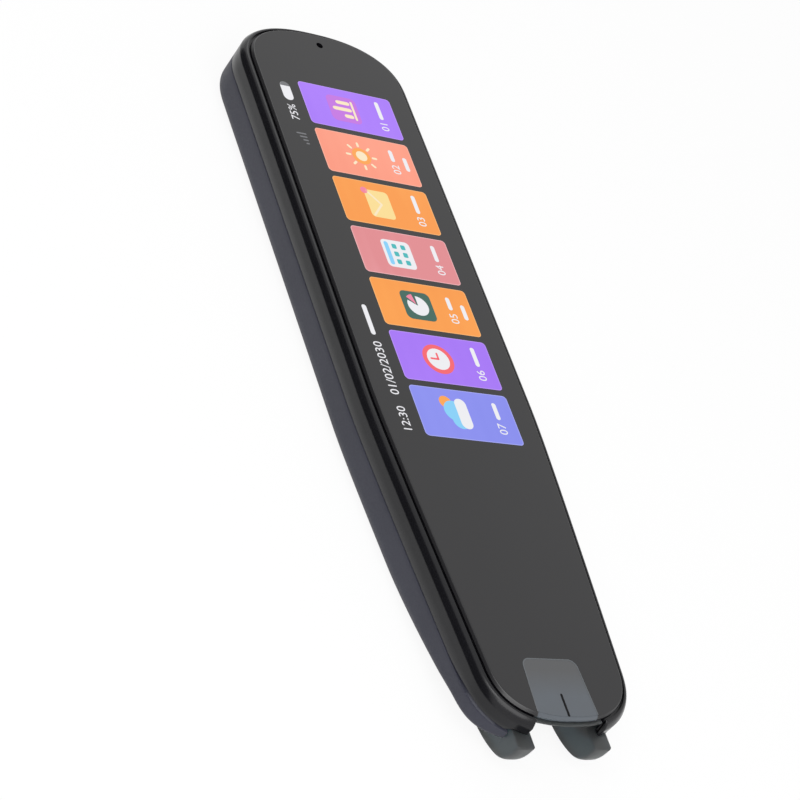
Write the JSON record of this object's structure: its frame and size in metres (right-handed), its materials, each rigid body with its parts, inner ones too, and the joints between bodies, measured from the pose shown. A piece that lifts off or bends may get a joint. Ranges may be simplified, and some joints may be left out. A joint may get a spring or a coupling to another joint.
{
  "type": "handheld translator",
  "caption": "Pen-shaped handheld scanning translator with a glass touch-screen front, a rounded matte back and a translucent two-footed scan nib.",
  "frame": {"origin": "on the plane of the flat back, under the middle of the bounding box", "axes": "+X to the right seen from the front with the nib towards the viewer, +Y along the pen from the nib to the top end, +Z out of the glass"},
  "size_m": [0.037, 0.1542, 0.0125],
  "materials": {
    "matte_cover": "fine-textured matte blue-grey moulded ABS",
    "satin_frame": "satin black anodise-look coating",
    "glass_black": "black-backed cover glass with a ground edge",
    "adhesive": "black foam tape",
    "touch_film": "clear sensor film",
    "lcd": "dark display panel",
    "tray_metal": "thin pressed steel",
    "backlight": "white light guide",
    "flex": "amber polyimide flex",
    "chassis": "pressed sheet",
    "screw_steel": "nickel-plated steel",
    "board": "green solder mask",
    "chip": "black epoxy package",
    "shield": "tinned shield can",
    "tape": "double-sided tape",
    "cell": "laminated foil pouch",
    "port_metal": "stamped stainless shell",
    "port_plastic": "black moulded tongue",
    "mic_metal": "gold-flashed can",
    "boot_rubber": "moulded rubber",
    "ceramic": "fired chip ceramic",
    "mesh_cloth": "acoustic mesh",
    "speaker_plastic": "black moulded box",
    "camera_plastic": "black moulded housing",
    "lens_glass": "coated optical glass",
    "nib_clear": "smoky translucent polycarbonate",
    "guide_plastic": "black moulded acetal",
    "spring_steel": "bright spring wire",
    "switch_plastic": "black switch housing",
    "plunger_plastic": "ivory acetal",
    "white_board": "white solder mask",
    "led": "phosphor-filled package",
    "button_satin": "satin black key"
  },
  "bodies": {
    "casing": {"rear_cover": "matte_cover", "front_frame": "satin_frame", "cover_glass": "glass_black", "glass_adhesive": "adhesive", "touch_sensor": "touch_film", "lcd_panel": "lcd", "backlight_tray": "tray_metal", "backlight_panel": "backlight", "display_flex": "flex", "inner_chassis": "chassis", "main_board": "board", "processor": "chip", "memory_chip": "chip", "radio_shield": "shield", "power_chip": "chip", "battery_tape": "tape", "battery": "cell", "battery_tab": "flex", "board_link_flex": "flex", "sub_board": "board", "port_shell": "port_metal", "port_tongue": "port_plastic", "microphone": "mic_metal", "microphone_boot": "boot_rubber", "antenna": "ceramic", "speaker_mesh": "mesh_cloth", "speaker": "speaker_plastic", "rear_camera": "camera_plastic", "rear_camera_window": "lens_glass", "nib_guide": "guide_plastic", "left_nib_spring": "spring_steel", "right_nib_spring": "spring_steel", "nib_switch": "switch_plastic", "camera_bracket": "chassis", "scan_camera": "camera_plastic", "light_board": "white_board", "lens_barrel": "camera_plastic", "scan_lens": "lens_glass", "left_scan_led": "led", "right_scan_led": "led", "camera_flex": "flex", "side_switch": "switch_plastic", "chassis_screw_1": "screw_steel", "board_screw_1": "screw_steel", "chassis_screw_2": "screw_steel", "board_screw_2": "screw_steel", "chassis_screw_3": "screw_steel", "board_screw_3": "screw_steel", "chassis_screw_4": "screw_steel", "board_screw_4": "screw_steel", "chassis_screw_5": "screw_steel", "board_screw_5": "screw_steel", "chassis_screw_6": "screw_steel", "board_screw_6": "screw_steel"},
    "nib": {"scan_nib": "nib_clear", "nib_switch_plunger": "plunger_plastic"},
    "power_key": {"power_button": "button_satin", "side_switch_plunger": "plunger_plastic"}
  },
  "joints": [
    {"name": "nib_press", "type": "slide", "parent": "casing", "child": "nib", "axis": [0, 1, 0], "range_m": [0, 0.0008], "stiffness_N_per_m": 900, "springref_m": -0.001, "deforming": ["left_nib_spring", "right_nib_spring"]},
    {"name": "power_key_press", "type": "slide", "parent": "casing", "child": "power_key", "axis": [-1, 0, 0], "range_m": [0, 0.00035], "stiffness_N_per_m": 2500, "springref_m": -0.0004}
  ]
}
